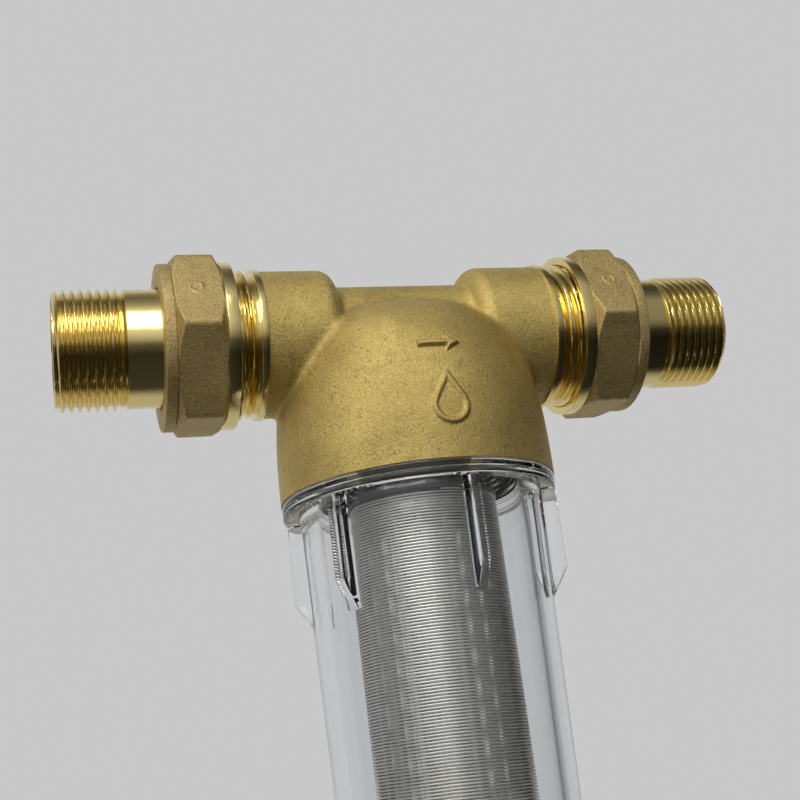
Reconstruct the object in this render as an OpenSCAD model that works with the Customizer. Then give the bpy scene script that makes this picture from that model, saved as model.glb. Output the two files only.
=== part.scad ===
// In-line magnetic system filter: a cast brass head with two union tails, a clear
// screw-on bowl, a wedge-wire screen round a magnet core, and a ball valve that drains the bowl.
// X runs along the pipe in the direction of flow, the bowl hangs down along -Z, and the
// origin is where the pipe's axis crosses the bowl's axis. Millimetres.

/* [Pipe line] */
// Outer radius of the tail thread, R 3/4
tail_thread_r = 13.22; // [13.0:0.01:13.4]
// Pitch of the tail thread
tail_pitch = 1.814; // [1.814:1.814]
// Outer radius of the port thread, G 1
port_thread_r = 16.62; // [16.5:0.01:16.7]
// Pitch of the port thread
port_pitch = 2.309; // [2.309:2.309]
// Radius of the water way
way_r = 10; // [8:0.5:10]
// Distance from the bowl's axis to the end of a tail
tail_end = 76.4; // [74:0.1:80]
// Distance from the bowl's axis to the end face of a port
port_end = 46; // [44:0.5:48]

/* [Union nut] */
// Across flats of the nut
nut_af = 36; // [36:0.5:38]
// Distance from the bowl's axis to the nut's inner face
nut_in = 38.5; // [37:0.5:40]
// Distance from the bowl's axis to the nut's outer face
nut_out = 54.1; // [54:0.1:56]
// Turn of the hexagon about the pipe
hex_turn = 24.6; // [0:0.1:60]

/* [Head] */
// Radius of the bell that holds the bowl
bell_r = 30.15; // [29:0.05:32]
// Height of the bell's lower edge
bell_foot = -36; // [-40:0.5:-34]
// Height of the dome above the bell's lower edge
dome_h = 42; // [38:0.5:46]
// Exponent of the dome's curve, 2 for an ellipse
dome_power = 3.1; // [2:0.1:4]
// Radius of the barrel between the two ports
barrel_r = 12.5; // [12:0.1:14]
// Radius of a cast port boss
boss_r = 16.3; // [16:0.1:18]
// Distance from the bowl's axis to the end of the cast boss
boss_end = 32.4; // [31:0.1:34]
// How far the arrow and the drop stand out
emblem_h = 0.6; // [0.3:0.1:1]

/* [Bowl] */
// Radius of the bowl's collar
collar_r = 30; // [29:0.1:31]
// Thickness of the collar
collar_h = 3.1; // [2.5:0.1:4]
// Outer radius of the bowl just under the collar
bowl_top_r = 26.4; // [26:0.1:27]
// Radius lost per millimetre of height, so that the moulding leaves its tool
bowl_draft = 0.0205; // [0.01:0.0005:0.03]
// Wall of the bowl
bowl_wall = 3.6; // [3:0.1:4]
// Height of the lower end of the straight wall
bowl_low = -148; // [-160:1:-140]
// Height of the bowl's flat foot
bowl_foot = -166; // [-175:1:-162]
// Number of ribs under the collar
rib_count = 6; // [4:1:8]
// Thickness of a rib
rib_t = 2.3; // [2:0.1:3]
// Turn of the first rib about the bowl's axis, from the front
rib_turn = 7; // [0:1:59]
// Pitch of the bowl's thread
bowl_pitch = 3; // [2:0.5:4]

/* [Screen and magnets] */
// Outer radius of the wedge-wire screen
screen_r = 16.75; // [15:0.25:18]
// Height of the screen's upper end
screen_top = -40; // [-44:0.5:-40]
// Height of the screen's lower end
screen_low = -142; // [-146:1:-120]
// Number of support rods inside the screen
rod_count = 20; // [8:1:30]
// Number of magnets in the core
magnet_count = 6; // [4:1:6]
// Radius of a magnet
magnet_r = 6; // [4:0.5:7]

/* [Drain valve] */
// Height of the ball's centre
ball_z = -184; // [-188:1:-182]
// Radius of the ball
ball_r = 7.5; // [7:0.1:8]
// Length of the lever from its shaft
lever_len = 38; // [30:1:50]

/* [Hidden] */
$fn = 96;
small = 0.01;
tail_thread_len = 14.6;
tail_thread_depth = 0.42;
tail_groove = 0.48;
shank_r = 12.95;
tail_flange_r = 15;
tail_face = port_end + 2;
nut_shoulder = 51;
nut_hole_r = 13.4;
nut_ring_r = 18.5;
nut_collar_r = 18.3;
nut_corner_r = nut_af / 2 / cos(30);
nut_thread_clear = 0.08;
port_thread_depth = 1.48;
shoulder_ring_r = 16.8;
shoulder_ring_w = 1.5;
boss_round = 3.5;
boss_start = 19;
neck_r = 26.25;
neck_clear = 0.1;
neck_top = -17.5;
neck_root = 1;
bell_bore_top = -17;
chamber_r = 23;
chamber_top = -12;
socket_r = 12.55;
socket_wall = 3;
socket_foot = -30;
spigot_r = socket_r - 0.1;
cap_r = 17;
oring_z_at = -24.5;
spider_h = 3;
hub_r = 4.6;
sheath_r = magnet_r + 1;
sheath_wall = 0.8;
sheath_foot = -139;
magnet_pitch = 14.5;
magnet_h = 12;
plug_top = screen_top - spider_h - 1;
plug_h = 4;
boss_low_r = 15;
drain_thread_r = 10.48;
drain_pitch = 1.814;
drain_seat = bowl_foot - 1.5;
chamber_ball_r = 9;
stem_r = 3;
stem_bore_r = 3.05;
seat_clear = 0.05;
valve_low = ball_z - 10;

brass = [0.80, 0.66, 0.34];
cast_brass = [0.70, 0.57, 0.30];
nut_brass = [0.64, 0.50, 0.30];
steel = [0.62, 0.62, 0.62];
clear_plastic = [0.86, 0.89, 0.90, 0.5];

// Bowl outer radius at height z.
function bowl_r(z) = bowl_top_r - bowl_draft * (bell_foot - collar_h - z);

// Profile of the dome, from its foot to its crown, as [radius, height].
function dome_points(grow) = [for (a = [0:7.5:90])
    [(bell_r + grow) * pow(cos(a), 2 / dome_power),
     bell_foot + (dome_h + grow) * pow(sin(a), 2 / dome_power)]];

// Crests and grooves of a ring thread along x, as [x, radius] points.
function thread_points(start, count, pitch, major, depth, groove) = [for (i = [0:count - 1])
    each [[start + i * pitch, major - depth], [start + i * pitch + groove / 2, major],
          [start + (i + 1) * pitch - groove / 2, major], [start + (i + 1) * pitch, major - depth]]];

// Turns [along, radius] points about the X axis.
module turned_x(points) {
    rotate([0, 90, 0])
        rotate_extrude()
            polygon([for (p = points) [p[1], p[0]]]);
}

// Turns [radius, height] points about the Z axis.
module turned_z(points) {
    rotate_extrude() polygon(points);
}

// A round bar along X.
module bar_x(r, from, to) {
    translate([from, 0, 0]) rotate([0, 90, 0]) cylinder(r = r, h = to - from);
}

// A round bar along Z.
module bar_z(r, from, to) {
    translate([0, 0, from]) cylinder(r = r, h = to - from);
}

// A ring round the Z axis.
module ring_z(outer, inner, from, to) {
    difference() {
        bar_z(outer, from, to);
        bar_z(inner, from - 1, to + 1);
    }
}

// A round rubber ring about the Z axis.
module oring_z(mid, section, z) {
    translate([0, 0, z]) rotate_extrude() translate([mid, 0]) circle(r = section, $fn = 32);
}

// ---- Head ----

// Cast boss, machined ring and ring thread of one port, towards +X.
module port_outside() {
    threads = 5;
    thread_start = boss_end + shoulder_ring_w;
    turned_x(concat(
        [[0, 0], [0, barrel_r]],
        [for (a = [90:-15:0])
            [boss_start - boss_round * sin(a), boss_r - boss_round * (1 - cos(a))]],
        [[boss_end, boss_r], [boss_end, shoulder_ring_r], [thread_start, shoulder_ring_r]],
        thread_points(thread_start, threads, port_pitch, port_thread_r, port_thread_depth,
                      0.8 * port_pitch),
        [[port_end, port_thread_r - port_thread_depth], [port_end, 0]]
    ));
}

// Outline of the flow arrow, centred on its own middle.
module arrow_shape() {
    half = 4.6;
    neck = 1.8;
    shaft = 0.8;
    barb = 1.7;
    polygon([[-half, -shaft], [neck, -shaft], [neck, -barb], [half, 0], [neck, barb],
             [neck, shaft], [-half, shaft]]);
}

// Outline of a water drop with its point upwards.
module drop_shape(r) {
    union() {
        circle(r = r, $fn = 48);
        polygon([[-r * cos(30), r * sin(30)], [0, r * 2], [r * cos(30), r * sin(30)]]);
    }
}

// The flow arrow and the drop, standing out of the front of the bell.
module emblems() {
    intersection() {
        turned_z(concat([[0, bell_foot]], dome_points(emblem_h)));
        union() {
            translate([0.3, -20, -11]) rotate([90, 0, 0]) linear_extrude(height = 20) arrow_shape();
            translate([0.6, -20, -25]) rotate([90, 0, 0]) linear_extrude(height = 20)
                difference() {
                    drop_shape(4);
                    drop_shape(2.8);
                }
        }
    }
}

module head_casting() {
    color(cast_brass) {
        difference() {
            union() {
                turned_z(concat([[0, bell_foot]], dome_points(0)));
                port_outside();
                mirror([1, 0, 0]) port_outside();
                emblems();
            }
            // bore that takes the bowl's neck
            bar_z(neck_r + neck_clear, bell_foot - 1, bell_bore_top);
            // chamber round the screen's socket
            ring_z(chamber_r, socket_r + socket_wall, bell_bore_top - 1, chamber_top);
            // socket for the screen cartridge and the way up from it
            bar_z(socket_r, bell_foot - 1, chamber_top - 2);
            bar_z(way_r - 0.5, chamber_top - 3, 0);
            sphere(r = way_r - 0.5);
            // outlet way
            bar_x(way_r, 0, port_end + 1);
            // inlet way and its drop into the chamber
            bar_x(way_r, -port_end - 1, -socket_r - socket_wall - 1);
            intersection() {
                ring_z(chamber_r, socket_r + socket_wall, chamber_top - 1, 0);
                translate([-chamber_r - 1, -9, chamber_top - 2]) cube([chamber_r + 1, 18, 14]);
            }
        }
        // wall of the screen's socket
        ring_z(socket_r + socket_wall, socket_r, socket_foot, bell_bore_top + small);
    }
}

// ---- Unions ----

module tail() {
    threads = 8;
    thread_start = tail_end - tail_thread_len;
    color(brass) difference() {
        turned_x(concat(
            [[tail_face, 0], [tail_face, tail_flange_r], [nut_shoulder - 0.1, tail_flange_r],
             [nut_shoulder - 0.1, shank_r], [thread_start - 1, shank_r],
             [thread_start, tail_thread_r - tail_thread_depth]],
            thread_points(thread_start, threads, tail_pitch, tail_thread_r, tail_thread_depth,
                          tail_groove),
            [[tail_end, tail_thread_r - tail_thread_depth], [tail_end, 0]]
        ));
        bar_x(way_r, tail_face - 1, tail_end + 1);
    }
}

module gasket() {
    color([0.16, 0.16, 0.16]) difference() {
        bar_x(tail_flange_r - 0.1, port_end + 0.05, tail_face);
        bar_x(way_r, port_end - 1, tail_face + 1);
    }
}

module union_nut() {
    hex_in = nut_in + 2.5;
    hex_out = nut_out - 2.3;
    cone = 1.4;
    color(nut_brass) difference() {
        union() {
            bar_x(nut_ring_r, nut_in, hex_in + 1);
            bar_x(nut_collar_r, hex_out - 1, nut_out);
            intersection() {
                translate([hex_in, 0, 0]) rotate([hex_turn, 0, 0]) rotate([0, 90, 0])
                    cylinder(r = nut_corner_r, h = hex_out - hex_in, $fn = 6);
                turned_x([[hex_in, 0], [hex_in, nut_ring_r], [hex_in + cone, nut_corner_r + 0.1],
                          [hex_out - cone, nut_corner_r + 0.1], [hex_out, nut_collar_r],
                          [hex_out, 0]]);
            }
        }
        bar_x(port_thread_r + nut_thread_clear, nut_in - 1, nut_shoulder);
        bar_x(nut_hole_r, nut_in, nut_out + 1);
    }
}

module inlet_tail() { mirror([1, 0, 0]) tail(); }
module inlet_gasket() { mirror([1, 0, 0]) gasket(); }
module inlet_union_nut() { mirror([1, 0, 0]) union_nut(); }
module outlet_tail() { tail(); }
module outlet_gasket() { gasket(); }
module outlet_union_nut() { union_nut(); }

// ---- Bowl ----

// One rib: a plate along the bowl that leans back to the wall at its lower end.
module rib() {
    top = bell_foot - collar_h;
    reach = collar_r - 0.2;
    root = bowl_r(top) - 1.5;
    rotate([90, 0, 0]) translate([0, 0, -rib_t / 2]) linear_extrude(height = rib_t)
        polygon([[root, top + 0.5], [reach, top + 0.5], [reach, top - 17.5],
                 [bowl_r(top - 23.5) - 0.1, top - 23.5], [root, top - 23.5]]);
}

module bowl() {
    top = bell_foot - collar_h;
    seat = bell_foot - 0.1;
    threads = 3;
    groove = neck_top - 4.2;
    color(clear_plastic) difference() {
        union() {
            turned_z(concat(
                [[0, bowl_foot], [boss_low_r, bowl_foot], [boss_low_r, bowl_low - 10]],
                [for (a = [0:15:90])
                    [boss_low_r + 1 + (bowl_r(bowl_low) - boss_low_r - 1) * sin(a),
                     bowl_low - 9 * cos(a)]],
                [[bowl_r(top), top], [collar_r - 0.3, top], [collar_r, top + 0.3],
                 [collar_r, seat], [neck_r - neck_root, seat]],
                [for (i = [0:threads - 1]) each [
                    [neck_r - neck_root, seat + 1 + i * bowl_pitch],
                    [neck_r, seat + 1.9 + i * bowl_pitch],
                    [neck_r, seat + 2.6 + i * bowl_pitch],
                    [neck_r - neck_root, seat + 3.5 + i * bowl_pitch]]],
                [[neck_r - neck_root, groove - 2.4], [neck_r, groove - 2.2], [neck_r, groove],
                 [neck_r - 2, groove], [neck_r - 2, groove + 2.2], [neck_r, groove + 2.2],
                 [neck_r, neck_top], [0, neck_top]]
            ));
            for (i = [0:rib_count - 1])
                rotate([0, 0, i * 360 / rib_count + rib_turn - 90]) rib();
        }
        turned_z(concat(
            [[0, bowl_low - 7], [12, bowl_low - 7]],
            [for (a = [0:15:90])
                [13 + (bowl_r(bowl_low) - bowl_wall - 13) * sin(a), bowl_low + 1 - 8 * cos(a)]],
            [[bowl_r(top) - bowl_wall - 0.2, top + 2], [bowl_r(top) - bowl_wall - 0.2, neck_top + 1],
             [0, neck_top + 1]]
        ));
        bar_z(drain_thread_r + 0.07, bowl_foot - 1, bowl_low);
    }
}

module bowl_oring() {
    color([0.1, 0.1, 0.1]) oring_z(neck_r - 0.95, 0.98, neck_top - 4.2 + 1.1);
}

// ---- Screen cartridge ----

module screen_wire() {
    groove = 0.25;
    pitch = 2.6;
    count = floor((screen_top - screen_low) / pitch);
    color(steel) turned_z(concat(
        [[screen_r - 0.7, screen_low]],
        [for (i = [0:count - 1]) each [
            [screen_r, screen_low + i * pitch],
            [screen_r, screen_low + (i + 0.8) * pitch],
            [screen_r - groove, screen_low + (i + 0.9) * pitch]]],
        [[screen_r, screen_top], [screen_r - 0.7, screen_top]]
    ));
}

module screen_rods() {
    rod_w = 1;
    rod_d = 1.4;
    color(steel) for (i = [0:rod_count - 1])
        rotate([0, 0, i * 360 / rod_count])
            translate([screen_r - 0.75 - rod_d, -rod_w / 2, screen_low])
                cube([rod_d, rod_w, screen_top - screen_low]);
}

module screen_top_cap() {
    flange = screen_top + 2.2;
    color(steel) difference() {
        turned_z([[0, screen_top], [cap_r, screen_top], [cap_r, flange], [spigot_r, flange],
                  [spigot_r, oring_z_at - 1.2], [spigot_r - 1.6, oring_z_at - 1.2],
                  [spigot_r - 1.6, oring_z_at + 1.2], [spigot_r, oring_z_at + 1.2],
                  [spigot_r, chamber_top - 6], [0, chamber_top - 6]]);
        bar_z(way_r - 1, screen_low, 0);
    }
}

module screen_bottom_cap() {
    color(steel) turned_z([[0, screen_low - 3], [cap_r - 1, screen_low - 3],
        [cap_r, screen_low - 2], [cap_r, screen_low], [screen_r - 2.3, screen_low],
        [screen_r - 2.3, screen_low + 2], [screen_r - 4, screen_low + 2],
        [screen_r - 4, screen_low - 1], [0, screen_low - 1]]);
}

module screen_top_oring() {
    color([0.1, 0.1, 0.1]) oring_z(spigot_r - 0.76, 0.8, oring_z_at);
}

// ---- Magnet core ----

module magnet_sheath() {
    color(steel) difference() {
        bar_z(sheath_r, sheath_foot, plug_top);
        bar_z(sheath_r - sheath_wall, sheath_foot + 1, plug_top + 1);
    }
}

module magnets() {
    color([0.45, 0.45, 0.48]) for (i = [0:magnet_count - 1])
        bar_z(magnet_r, sheath_foot + 1 + i * magnet_pitch, sheath_foot + 1 + i * magnet_pitch + magnet_h);
}

module pole_spacers() {
    color([0.5, 0.5, 0.5]) for (i = [0:magnet_count - 1])
        bar_z(magnet_r, sheath_foot + 1 + i * magnet_pitch + magnet_h,
              sheath_foot + 1 + (i + 1) * magnet_pitch);
}

module magnet_end_plug() {
    stub_r = 2.4;
    color(steel) union() {
        bar_z(sheath_r - sheath_wall, plug_top - plug_h, plug_top);
        bar_z(stub_r, plug_top - small, screen_top);
    }
}

module magnet_spider() {
    arms = 3;
    ring_r = screen_r - 2.65;
    low = screen_top - spider_h;
    color(steel) difference() {
        union() {
            ring_z(ring_r, ring_r - 1.6, low, screen_top);
            bar_z(hub_r, plug_top, screen_top);
            for (i = [0:arms - 1])
                rotate([0, 0, i * 360 / arms]) translate([hub_r - 1, -1, low])
                    cube([ring_r - hub_r, 2, spider_h]);
        }
        bar_z(2.5, plug_top - 1, screen_top + 1);
    }
}

// ---- Drain valve ----

module drain_body() {
    threads = 4;
    spigot_top = bowl_foot + 9;
    hex_low = drain_seat - 6.5;
    hex_af = 27;
    barrel = 12.5;
    color(brass) difference() {
        union() {
            turned_z(concat(
                [[0, drain_seat - 1], [drain_thread_r - 1.1, drain_seat - 1]],
                [for (p = thread_points(bowl_foot + 0.2, threads, drain_pitch, drain_thread_r, 1.1,
                                       0.8 * drain_pitch))
                    [p[1], p[0]]],
                [[drain_thread_r - 1.1, spigot_top], [0, spigot_top]]
            ));
            bar_z(14.2, drain_seat - 1, drain_seat);
            translate([0, 0, hex_low])
                cylinder(r = hex_af / 2 / cos(30), h = drain_seat - 1 - hex_low, $fn = 6);
            bar_z(barrel, valve_low, hex_low + 1);
            translate([0, 0, ball_z]) rotate([90, 0, 0]) cylinder(r = 5.5, h = 17);
        }
        bar_z(5, ball_z + 6, spigot_top + 1);
        bar_z(chamber_ball_r, valve_low - 1, ball_z + 8);
        translate([0, 0, ball_z]) rotate([90, 0, 0]) cylinder(r = stem_bore_r, h = 18);
    }
}

module drain_seal_ring() {
    color([0.1, 0.1, 0.1]) ring_z(13, drain_thread_r + 0.1, drain_seat, bowl_foot);
}

// A ring with a hollow seat for the ball.
module seat_ring(from, to) {
    color([0.93, 0.93, 0.90]) difference() {
        bar_z(chamber_ball_r, from, to);
        bar_z(4, from - 1, to + 1);
        translate([0, 0, ball_z]) sphere(r = ball_r + seat_clear);
    }
}

module ball_seat_upper() { seat_ring(ball_z + 3.5, ball_z + 8); }
module ball_seat_lower() { seat_ring(ball_z - 8, ball_z - 3.5); }

module hose_tail() {
    barbs = 4;
    barb_h = 4;
    barb_r = 7.4;
    barb_top = valve_low - 5;
    hex_af = 22;
    color(brass) difference() {
        union() {
            bar_z(chamber_ball_r, valve_low, ball_z - 8);
            translate([0, 0, barb_top])
                cylinder(r = hex_af / 2 / cos(30), h = valve_low - barb_top, $fn = 6);
            turned_z(concat(
                [[0, barb_top + 1], [0, barb_top - barbs * barb_h]],
                [for (i = [barbs - 1:-1:0]) each [
                    [6.2, barb_top - (i + 1) * barb_h], [barb_r, barb_top - i * barb_h - 1.4],
                    [barb_r, barb_top - i * barb_h - 0.8], [6.4, barb_top - i * barb_h - 0.4]]],
                [[6.4, barb_top + 1]]
            ));
        }
        bar_z(4.5, barb_top - barbs * barb_h - 1, ball_z);
    }
}

module drain_ball() {
    slot_w = 2.2;
    color([0.78, 0.78, 0.78]) translate([0, 0, ball_z]) difference() {
        sphere(r = ball_r);
        bar_x(4, -ball_r - 1, ball_r + 1);
        translate([-slot_w / 2, -ball_r - 1, -ball_r]) cube([slot_w, 2.6, ball_r * 2]);
    }
}

module drain_stem() {
    tang = ball_r - 1.5;
    oring_y = 12.2;
    color(brass) translate([0, 0, ball_z]) union() {
        translate([-1, -ball_r - 0.6, -2.4]) cube([2, 2, 4.8]);
        rotate([90, 0, 0]) rotate_extrude()
            polygon([[0, ball_r + 0.1], [stem_r, ball_r + 0.1], [stem_r, oring_y - 0.8],
                     [stem_r - 1, oring_y - 0.8], [stem_r - 1, oring_y + 0.8],
                     [stem_r, oring_y + 0.8], [stem_r, 23], [0, 23]]);
    }
}

module stem_oring() {
    color([0.1, 0.1, 0.1]) translate([0, -12.2, ball_z]) rotate([90, 0, 0])
        rotate_extrude() translate([stem_r - 0.48, 0]) circle(r = 0.5, $fn = 32);
}

module drain_handle() {
    hub = 6;
    hub_near = 17.5;
    hub_far = 23.5;
    tip_r = 5;
    color([0.72, 0.10, 0.09]) translate([0, 0, ball_z]) rotate([90, 0, 0]) difference() {
        union() {
            translate([0, 0, hub_near]) cylinder(r = hub, h = hub_far - hub_near);
            translate([0, 0, hub_near + 1.5]) linear_extrude(height = 4) union() {
                polygon([[0, -hub + 0.8], [lever_len - tip_r, -tip_r + 0.2],
                         [lever_len - tip_r, tip_r - 0.2], [0, hub - 0.8]]);
                translate([lever_len - tip_r, 0]) circle(r = tip_r);
            }
        }
        translate([0, 0, hub_near - 1]) cylinder(r = stem_r, h = 10);
    }
}

module handle_screw() {
    color(steel) translate([0, -23.5, ball_z]) rotate([90, 0, 0]) difference() {
        cylinder(r = 4, h = 2.4);
        translate([-0.5, -5, 1.4]) cube([1, 10, 2]);
    }
}

head_casting();
inlet_tail();
inlet_gasket();
inlet_union_nut();
outlet_tail();
outlet_gasket();
outlet_union_nut();
bowl();
bowl_oring();
screen_wire();
screen_rods();
screen_top_cap();
screen_bottom_cap();
screen_top_oring();
magnet_sheath();
magnets();
pole_spacers();
magnet_end_plug();
magnet_spider();
drain_body();
drain_seal_ring();
hose_tail();
ball_seat_upper();
ball_seat_lower();
stem_oring();
drain_ball();
drain_stem();
drain_handle();
handle_screw();
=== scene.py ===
"""Looks of the in-line magnetic system filter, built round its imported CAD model.

Shapes are worked out in millimetres and turned into metres when a mesh is made. X runs along
the pipe, the bowl hangs along -Z, and the front faces -Y, as in the CAD model.
"""

import math

import bmesh
import bpy
import numpy as np
from mathutils import Matrix, Vector


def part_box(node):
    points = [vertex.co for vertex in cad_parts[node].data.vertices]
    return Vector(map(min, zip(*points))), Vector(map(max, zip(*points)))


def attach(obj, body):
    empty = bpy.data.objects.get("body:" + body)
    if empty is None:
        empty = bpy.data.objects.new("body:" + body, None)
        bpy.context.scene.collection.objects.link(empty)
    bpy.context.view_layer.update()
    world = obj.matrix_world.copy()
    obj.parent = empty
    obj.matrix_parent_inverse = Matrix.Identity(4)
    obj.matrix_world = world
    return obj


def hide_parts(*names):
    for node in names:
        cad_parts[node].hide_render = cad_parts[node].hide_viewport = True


MM = 0.001
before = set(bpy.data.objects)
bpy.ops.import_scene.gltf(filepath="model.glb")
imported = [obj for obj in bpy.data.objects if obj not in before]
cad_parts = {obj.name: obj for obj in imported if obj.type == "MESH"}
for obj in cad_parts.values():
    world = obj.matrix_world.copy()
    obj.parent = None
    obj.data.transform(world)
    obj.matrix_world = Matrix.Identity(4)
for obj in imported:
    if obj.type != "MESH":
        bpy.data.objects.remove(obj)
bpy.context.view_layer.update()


def span(node, axis):
    """Lowest and highest coordinate of a CAD node along an axis, in millimetres."""
    low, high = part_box(node)
    return low[axis] / MM, high[axis] / MM


# ---------------------------------------------------------------- driving sizes, from the frame

PORT_END = span("outlet_gasket", 0)[0]
TAIL_FACE, TAIL_END = span("outlet_tail", 0)
NUT_IN, NUT_OUT = span("outlet_union_nut", 0)
BELL_FOOT = span("head_casting", 2)[0]
BELL_R = span("head_casting", 1)[1]
BOWL_FOOT, NECK_TOP = span("bowl", 2)
COLLAR_R = span("bowl", 1)[1]
SCREEN_LOW, SCREEN_TOP = span("screen_wire", 2)
SCREEN_R = span("screen_wire", 1)[1]
BALL_Z = sum(span("drain_ball", 2)) / 2
VALVE_LOW = span("drain_body", 2)[0]
HOSE_LOW = span("hose_tail", 2)[0]
LEVER_TIP = span("drain_handle", 0)[1]
LEVER_FRONT, LEVER_BACK = span("drain_handle", 1)

WAY_R = 10.0
ROWS_PER_TURN = 18
TAIL_THREAD_R = 13.22
TAIL_PITCH = 1.814
TAIL_THREAD_LEN = 14.6
SHANK_R = 12.95
TAIL_FLANGE_R = 15.0
NUT_SHOULDER = 51.0
PORT_THREAD_R = 16.62
PORT_PITCH = 2.309
BOSS_R = 16.3
BOSS_END = 32.4
BARREL_R = 12.5
DOME_H = 42.0
DOME_POWER = 3.1
COLLAR_H = 3.1
BOWL_TOP_R = 26.4
BOWL_DRAFT = 0.0205
BOWL_WALL = 3.6
BOWL_LOW = -148.0
NECK_R = 26.25
WIRE_TOP = SCREEN_TOP + 1.2
ARROW_TOP = 0.85
DROP_TOP = 0.5
RIB_COUNT = 6
RIB_TURN = math.radians(7)


# ---------------------------------------------------------------- mesh helpers

def linked(name, data):
    """A new object, linked to the scene."""
    obj = bpy.data.objects.new(name, data)
    bpy.context.scene.collection.objects.link(obj)
    return obj


def ring_angles(columns):
    """Evenly spaced angles of a full turn."""
    return np.linspace(0, 2 * math.pi, columns, endpoint=False)


def sharpen(obj, degrees):
    """Smooth shading, with edges sharper than the angle kept crisp."""
    mesh = obj.data
    limit = math.radians(degrees)
    work = bmesh.new()
    work.from_mesh(mesh)
    for face in work.faces:
        face.smooth = True
    for edge in work.edges:
        edge.smooth = len(edge.link_faces) == 2 and edge.calc_face_angle(0.0) < limit
    work.to_mesh(mesh)
    work.free()


def new_object(name, points, faces, crease=35):
    """An object from points in millimetres, with smooth shading and outward normals."""
    mesh = bpy.data.meshes.new(name)
    mesh.from_pydata((np.asarray(points, float) * MM).tolist(), [], faces)
    work = bmesh.new()
    work.from_mesh(mesh)
    bmesh.ops.remove_doubles(work, verts=work.verts, dist=1e-7)
    bmesh.ops.dissolve_degenerate(work, edges=work.edges, dist=1e-7)
    bmesh.ops.recalc_face_normals(work, faces=work.faces)
    work.to_mesh(mesh)
    work.free()
    obj = linked(name, mesh)
    sharpen(obj, crease)
    return obj


def grid_faces(rows, columns, close_rows, offset=0):
    """Quads of a grid whose columns close on themselves, and whose rows may."""
    faces = []
    for i in range(rows if close_rows else rows - 1):
        below = i * columns
        above = ((i + 1) % rows) * columns
        for j in range(columns):
            k = (j + 1) % columns
            faces.append([offset + below + j, offset + below + k,
                          offset + above + k, offset + above + j])
    return faces


def fillet(points, radius, steps=4):
    """The closed outline with each corner rounded. radius may be one number or one per corner."""
    count = len(points)
    radii = [radius] * count if np.isscalar(radius) else list(radius)
    rounded = []
    for i in range(count):
        before, here, after = (np.array(points[k], float) for k in (i - 1, i, (i + 1) % count))
        to_before, to_after = before - here, after - here
        room = 0.45 * min(np.linalg.norm(to_before), np.linalg.norm(to_after))
        to_before /= np.linalg.norm(to_before)
        to_after /= np.linalg.norm(to_after)
        half = math.acos(np.clip(to_before @ to_after, -1, 1)) / 2
        if radii[i] <= 0 or half > math.radians(88) or half < math.radians(2):
            rounded.append(tuple(here))
            continue
        cut = min(radii[i] / math.tan(half), room)
        start, end = here + to_before * cut, here + to_after * cut
        for t in np.linspace(0, 1, steps + 1):
            rounded.append(tuple((1 - t) ** 2 * start + 2 * t * (1 - t) * here + t * t * end))
    return rounded


def place(along, radius, angle, axis, flip=False):
    """Points at a radius and an angle about the X or the Z axis."""
    along, radius, angle = np.broadcast_arrays(along, radius, angle)
    if axis == "x":
        side = -along if flip else along
        return np.stack([side, -radius * np.cos(angle), radius * np.sin(angle)], -1)
    return np.stack([radius * np.sin(angle), -radius * np.cos(angle), along], -1)


def ring_surface(name, along, radius, axis="z", flip=False, columns=128, crease=35):
    """A closed ring-shaped body of loops about an axis, the last of which meets the first."""
    angle = ring_angles(columns)
    rows = [place(a, r, angle, axis, flip) for a, r in zip(along, radius)]
    points = np.concatenate([row.reshape(-1, 3) for row in rows])
    return new_object(name, points, grid_faces(len(rows), columns, True), crease)


def turned(name, outline, axis="z", flip=False, columns=128, crease=35):
    """A ring turned from a closed outline of (along, radius) points."""
    return ring_surface(name, *zip(*outline), axis, flip, columns, crease)


def smooth_step(share):
    """A rise from 0 to 1 with level ends."""
    return share * share * (3 - 2 * share)


def thread_rows(levels, angle, start, end, pitch, major, depth, slope):
    """Radii of a right-hand helical thread, run out at its start and chamfered at its end."""
    crest_share, root_share, roundness, chamfer_slope, chamfer_edge = 0.16, 0.12, 0.35, 0.9, 0.15
    root = major - depth
    rows = []
    for level in levels:
        phase = (level / pitch + angle / (2 * math.pi)) % 1.0
        flank = np.abs(phase - 0.5) * 2
        height = np.clip((1 - root_share - flank) / (1 - root_share - crest_share), 0, 1)
        eased = smooth_step(height) * roundness + height * (1 - roundness)
        chamfer = max((end - level) * chamfer_slope, 0) + chamfer_edge
        rows.append(root + np.minimum(depth * eased, min(chamfer, max(level - start, 0) * slope)))
    return rows


def smooth_min(a, b, blend):
    """The lower of two distances, with their meeting rounded over the blend length."""
    mix = np.clip(0.5 + 0.5 * (b - a) / blend, 0, 1)
    return b + (a - b) * mix - blend * mix * (1 - mix)


def hexagon_radius(angle, flat, turn, blend):
    """Radius of a hexagon with rounded corners. A flat's normal lies at the turn."""
    beyond, grazing = 60.0, 0.3
    distance = np.full(angle.shape, beyond)
    for k in range(6):
        slant = np.cos(angle - turn - k * math.pi / 3)
        side = np.where(slant > grazing, flat / np.maximum(slant, grazing), beyond)
        distance = smooth_min(distance, side, blend)
    return distance


def finish_piece(obj, body, slot, material, *nodes):
    """Gives a piece its material and its body, and hides the CAD nodes it stands for. The slot is
    not used.
    """
    obj.data.materials.clear()
    obj.data.materials.append(material)
    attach(obj, body)
    if nodes:
        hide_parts(*nodes)
    return obj


# ---------------------------------------------------------------- materials

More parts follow.
